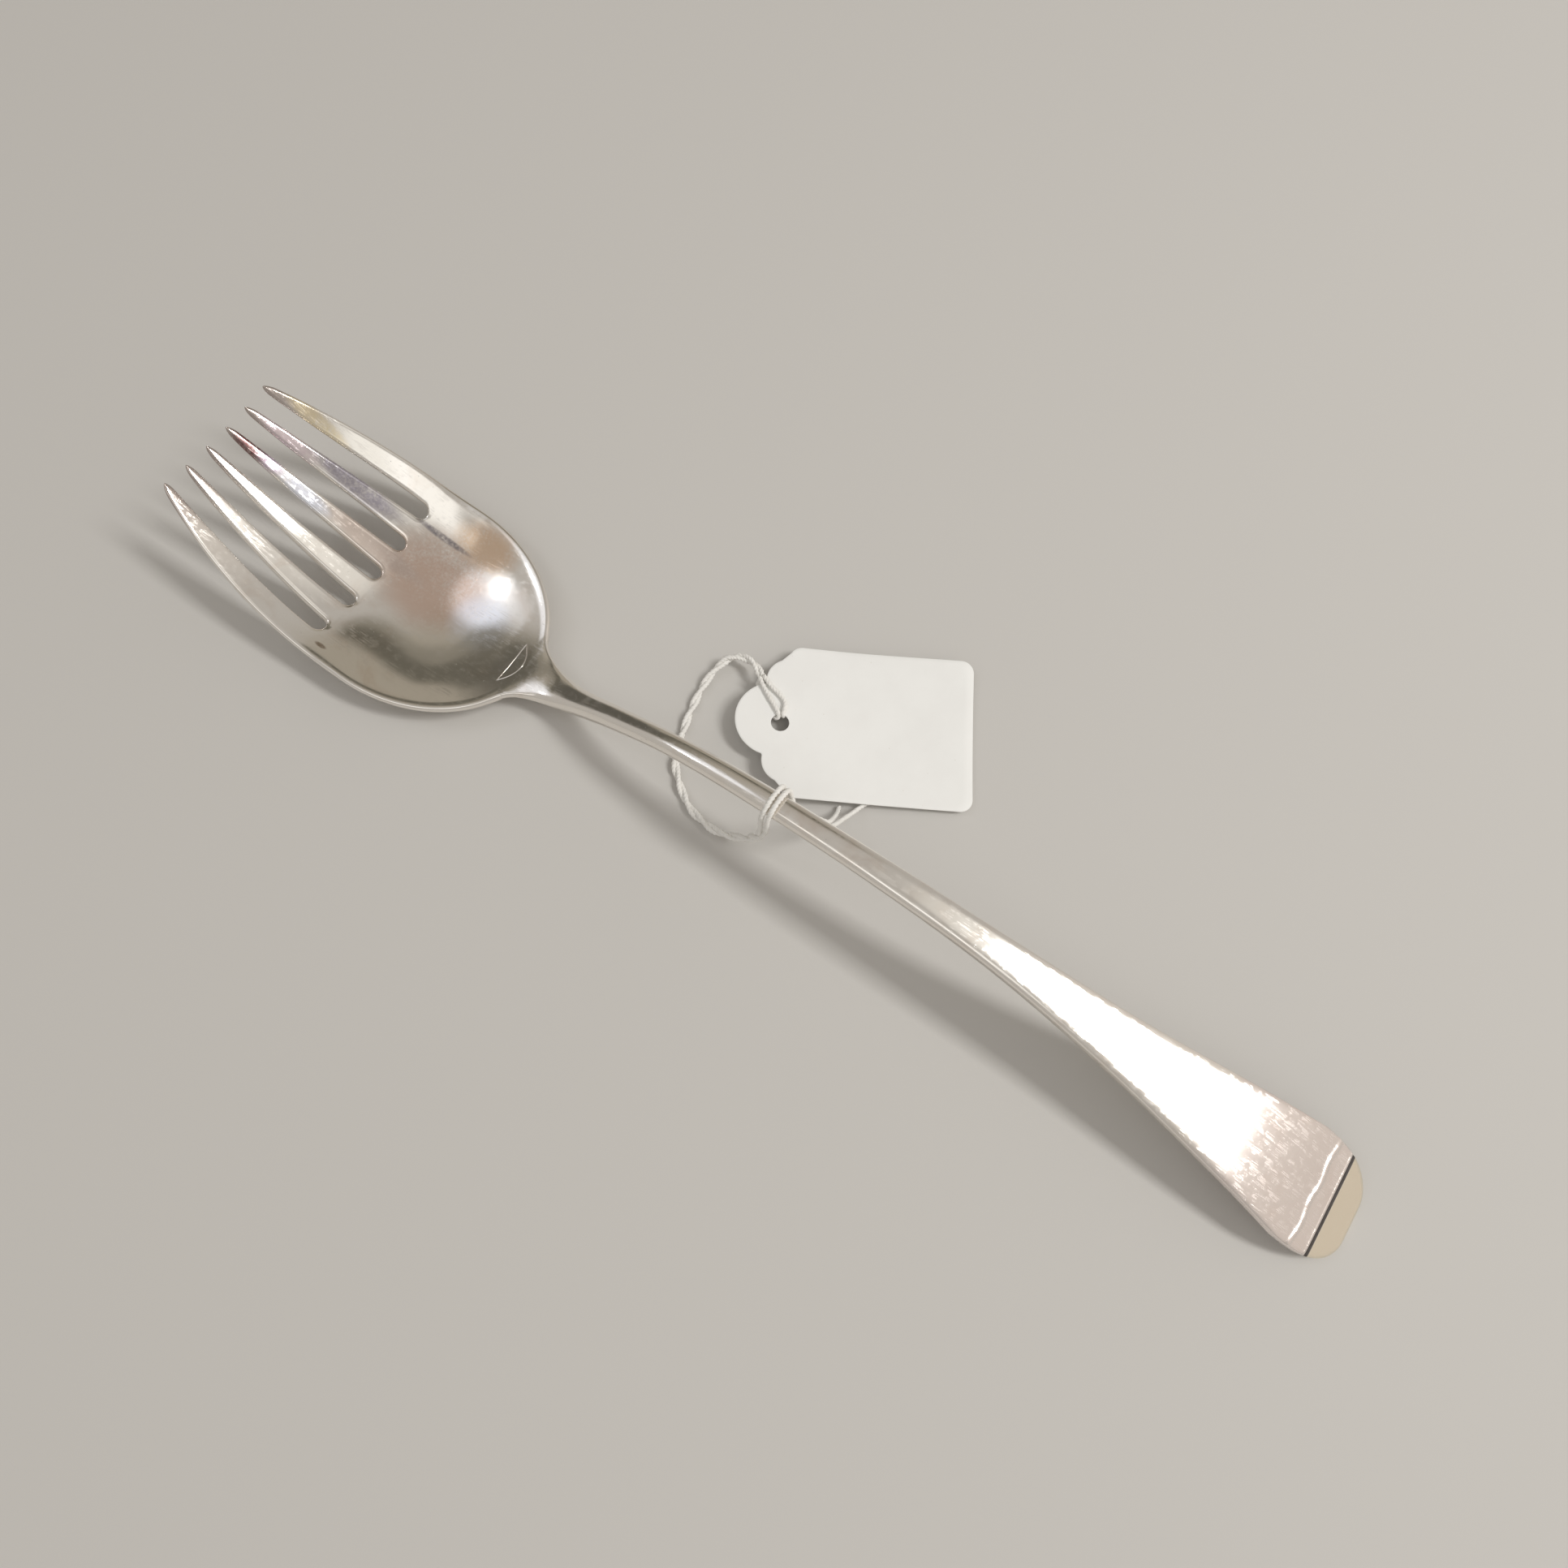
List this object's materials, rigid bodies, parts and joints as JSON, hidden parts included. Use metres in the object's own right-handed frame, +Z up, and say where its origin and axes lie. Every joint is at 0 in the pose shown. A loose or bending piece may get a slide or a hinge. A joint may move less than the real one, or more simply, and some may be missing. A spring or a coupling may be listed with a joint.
{
  "type": "salad fork",
  "caption": "Silver salad serving fork: pointed tines, dished bowl, arched round stem, flat handle widening to a rounded end, with a blank card tag tied on by cotton string.",
  "frame": {"origin": "middle of the fork's length and width, on the table plane it rests on", "axes": "+X along the fork towards the handle end, +Y across it towards the tag, +Z up, bowl up"},
  "size_m": [0.2511, 0.0755, 0.0262],
  "materials": {
    "bowl_silver": "old polished silver with warm tarnish",
    "handle_silver": "old polished silver with fine scratches",
    "tag_card": "matt white card",
    "cotton_string": "twisted white cotton"
  },
  "bodies": {
    "fork": {"fork_head": "bowl_silver", "handle": "handle_silver"},
    "string": {"string_loop": "cotton_string", "string_turn_near": "cotton_string", "string_turn_far": "cotton_string", "string_knot": "cotton_string", "string_tail_short": "cotton_string", "string_tail_long": "cotton_string"},
    "neck": {"string_neck": "cotton_string"},
    "tag": {"price_tag": "tag_card", "string_bight": "cotton_string"}
  },
  "joints": [
    {"name": "string_slide", "type": "slide", "parent": "fork", "child": "string", "axis": [0.9968, 0, 0.0797], "range_m": [0, 0.012]},
    {"name": "tag_swing", "type": "hinge", "parent": "string", "child": "neck", "pos_m": [-0.0241, 0.0264, 0.00266], "axis": [0, 0, 1], "range_deg": [0, 30]},
    {"name": "tag_lift", "type": "hinge", "parent": "neck", "child": "tag", "pos_m": [-0.0169, 0.0259, 0.0038], "axis": [0.109, -0.994, 0], "range_deg": [0, 60]}
  ]
}
